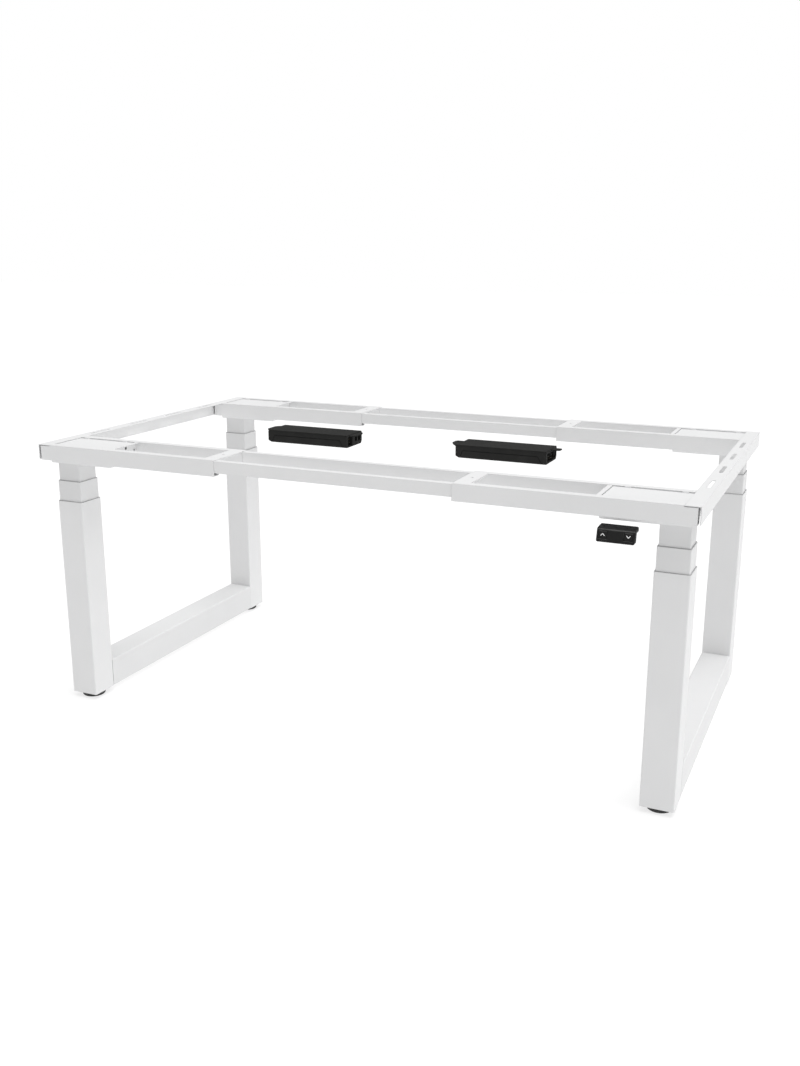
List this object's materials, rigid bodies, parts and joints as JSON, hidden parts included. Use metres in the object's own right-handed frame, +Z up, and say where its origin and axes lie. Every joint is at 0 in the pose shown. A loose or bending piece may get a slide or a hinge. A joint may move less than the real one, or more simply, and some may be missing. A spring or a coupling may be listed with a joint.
{
  "type": "standing desk frame",
  "caption": "Electric height-adjustable desk frame on telescoping square legs with U-shaped feet, width-adjustable beams, slotted side rails, control boxes and a handset.",
  "frame": {"origin": "plan centre of the frame, on the floor", "axes": "+X to the right along the width, +Y to the rear, +Z up; the handset is at the front"},
  "size_m": [1.52, 0.8736, 0.6435],
  "materials": {
    "powder_coat": "fine-textured white powder coat",
    "screw_steel": "bright turned steel, oiled",
    "fastener_zinc": "zinc plated",
    "motor_shell": "dark grey, satin",
    "bush_plastic": "light grey, smooth",
    "glide_plastic": "black, matte",
    "box_plastic": "black, fine grain",
    "handset_plastic": "black, satin",
    "circuit_board": "green lacquer"
  },
  "bodies": {
    "left_foot": {"left_front_outer_tube": "powder_coat", "left_rear_outer_tube": "powder_coat", "left_foot_crossbar": "powder_coat", "left_outer_bushes": "bush_plastic", "left_base_posts": "screw_steel"},
    "left_middle": {"left_front_middle_tube": "powder_coat", "left_rear_middle_tube": "powder_coat", "left_middle_bushes": "bush_plastic", "left_middle_posts": "screw_steel"},
    "left_top": {"left_front_inner_tube": "powder_coat", "left_rear_inner_tube": "powder_coat", "left_front_end_bracket": "powder_coat", "left_rear_end_bracket": "powder_coat", "left_motor_covers": "powder_coat", "left_side_rail": "powder_coat", "left_front_gear_motor": "motor_shell", "left_rear_gear_motor": "motor_shell", "left_frame_fasteners": "fastener_zinc"},
    "right_foot": {"right_front_outer_tube": "powder_coat", "right_rear_outer_tube": "powder_coat", "right_foot_crossbar": "powder_coat", "right_outer_bushes": "bush_plastic", "right_base_posts": "screw_steel"},
    "right_middle": {"right_front_middle_tube": "powder_coat", "right_rear_middle_tube": "powder_coat", "right_middle_bushes": "bush_plastic", "right_middle_posts": "screw_steel"},
    "right_top": {"right_front_inner_tube": "powder_coat", "right_rear_inner_tube": "powder_coat", "right_front_end_bracket": "powder_coat", "right_rear_end_bracket": "powder_coat", "right_motor_covers": "powder_coat", "right_side_rail": "powder_coat", "right_front_gear_motor": "motor_shell", "right_rear_gear_motor": "motor_shell", "right_frame_fasteners": "fastener_zinc", "handset_case": "handset_plastic"},
    "centre": {"front_centre_rails": "powder_coat", "rear_centre_rails": "powder_coat", "control_box_tray": "box_plastic", "control_box_lid": "box_plastic", "control_box_board": "circuit_board", "power_box_tray": "box_plastic", "power_box_lid": "box_plastic", "power_box_board": "circuit_board"},
    "left_front_glide": {"left_front_glide": "glide_plastic"},
    "left_front_upper_screw": {"left_front_upper_screw": "screw_steel"},
    "left_front_lower_screw": {"left_front_lower_screw": "screw_steel"},
    "left_rear_glide": {"left_rear_glide": "glide_plastic"},
    "left_rear_upper_screw": {"left_rear_upper_screw": "screw_steel"},
    "left_rear_lower_screw": {"left_rear_lower_screw": "screw_steel"},
    "right_front_glide": {"right_front_glide": "glide_plastic"},
    "right_front_upper_screw": {"right_front_upper_screw": "screw_steel"},
    "right_front_lower_screw": {"right_front_lower_screw": "screw_steel"},
    "right_rear_glide": {"right_rear_glide": "glide_plastic"},
    "right_rear_upper_screw": {"right_rear_upper_screw": "screw_steel"},
    "right_rear_lower_screw": {"right_rear_lower_screw": "screw_steel"},
    "up_key": {"handset_up_key": "handset_plastic"},
    "down_key": {"handset_down_key": "handset_plastic"}
  },
  "joints": [
    {"name": "lift", "type": "slide", "parent": "left_foot", "child": "left_top", "axis": [0, 0, 1], "range_m": [0, 0.65]},
    {"name": "left_middle_lift", "type": "slide", "parent": "left_foot", "child": "left_middle", "axis": [0, 0, 1], "range_m": [0, 0.325]},
    {"name": "left_extend", "type": "slide", "parent": "left_top", "child": "centre", "axis": [1, 0, 0], "range_m": [-0.2375, 0.1125]},
    {"name": "right_extend", "type": "slide", "parent": "centre", "child": "right_top", "axis": [1, 0, 0], "range_m": [-0.2375, 0.1125]},
    {"name": "right_lift", "type": "slide", "parent": "right_top", "child": "right_foot", "axis": [0, 0, -1], "range_m": [0, 0.65]},
    {"name": "right_middle_lift", "type": "slide", "parent": "right_foot", "child": "right_middle", "axis": [0, 0, 1], "range_m": [0, 0.325]},
    {"name": "left_front_upper_screw_turn", "type": "hinge", "parent": "left_top", "child": "left_front_upper_screw", "pos_m": [-0.7095, -0.3645, 0.6], "axis": [0, 0, 1], "range_deg": [0, 14627]},
    {"name": "left_front_lower_screw_turn", "type": "hinge", "parent": "left_middle", "child": "left_front_lower_screw", "pos_m": [-0.7095, -0.3645, 0.5], "axis": [0, 0, 1], "range_deg": [0, 14627]},
    {"name": "left_rear_upper_screw_turn", "type": "hinge", "parent": "left_top", "child": "left_rear_upper_screw", "pos_m": [-0.7095, 0.3645, 0.6], "axis": [0, 0, 1], "range_deg": [0, 14627]},
    {"name": "left_rear_lower_screw_turn", "type": "hinge", "parent": "left_middle", "child": "left_rear_lower_screw", "pos_m": [-0.7095, 0.3645, 0.5], "axis": [0, 0, 1], "range_deg": [0, 14627]},
    {"name": "right_front_upper_screw_turn", "type": "hinge", "parent": "right_top", "child": "right_front_upper_screw", "pos_m": [0.7095, -0.3645, 0.6], "axis": [0, 0, 1], "range_deg": [0, 14627]},
    {"name": "right_front_lower_screw_turn", "type": "hinge", "parent": "right_middle", "child": "right_front_lower_screw", "pos_m": [0.7095, -0.3645, 0.5], "axis": [0, 0, 1], "range_deg": [0, 14627]},
    {"name": "right_rear_upper_screw_turn", "type": "hinge", "parent": "right_top", "child": "right_rear_upper_screw", "pos_m": [0.7095, 0.3645, 0.6], "axis": [0, 0, 1], "range_deg": [0, 14627]},
    {"name": "right_rear_lower_screw_turn", "type": "hinge", "parent": "right_middle", "child": "right_rear_lower_screw", "pos_m": [0.7095, 0.3645, 0.5], "axis": [0, 0, 1], "range_deg": [0, 14627]},
    {"name": "left_front_glide_adjust", "type": "slide", "parent": "left_foot", "child": "left_front_glide", "axis": [0, 0, -1], "range_m": [0, 0.012]},
    {"name": "left_rear_glide_adjust", "type": "slide", "parent": "left_foot", "child": "left_rear_glide", "axis": [0, 0, -1], "range_m": [0, 0.012]},
    {"name": "right_front_glide_adjust", "type": "slide", "parent": "right_foot", "child": "right_front_glide", "axis": [0, 0, -1], "range_m": [0, 0.012]},
    {"name": "right_rear_glide_adjust", "type": "slide", "parent": "right_foot", "child": "right_rear_glide", "axis": [0, 0, -1], "range_m": [0, 0.012]},
    {"name": "up_key_press", "type": "slide", "parent": "right_top", "child": "up_key", "axis": [0, 0.9659, -0.2588], "range_m": [0, 0.0008], "stiffness_N_per_m": 1250, "springref_m": -0.0004},
    {"name": "down_key_press", "type": "slide", "parent": "right_top", "child": "down_key", "axis": [0, 0.9659, -0.2588], "range_m": [0, 0.0008], "stiffness_N_per_m": 1250, "springref_m": -0.0004}
  ],
  "couplings": [
    {"joint": "left_middle_lift", "follows": "lift", "ratio": 0.5},
    {"joint": "right_lift", "follows": "lift", "ratio": 1},
    {"joint": "right_middle_lift", "follows": "lift", "ratio": 0.5},
    {"joint": "right_extend", "follows": "left_extend", "ratio": 1},
    {"joint": "left_front_upper_screw_turn", "follows": "lift", "rad_per_m": 392.7},
    {"joint": "left_front_lower_screw_turn", "follows": "lift", "rad_per_m": 392.7},
    {"joint": "left_rear_upper_screw_turn", "follows": "lift", "rad_per_m": 392.7},
    {"joint": "left_rear_lower_screw_turn", "follows": "lift", "rad_per_m": 392.7},
    {"joint": "right_front_upper_screw_turn", "follows": "lift", "rad_per_m": 392.7},
    {"joint": "right_front_lower_screw_turn", "follows": "lift", "rad_per_m": 392.7},
    {"joint": "right_rear_upper_screw_turn", "follows": "lift", "rad_per_m": 392.7},
    {"joint": "right_rear_lower_screw_turn", "follows": "lift", "rad_per_m": 392.7}
  ]
}
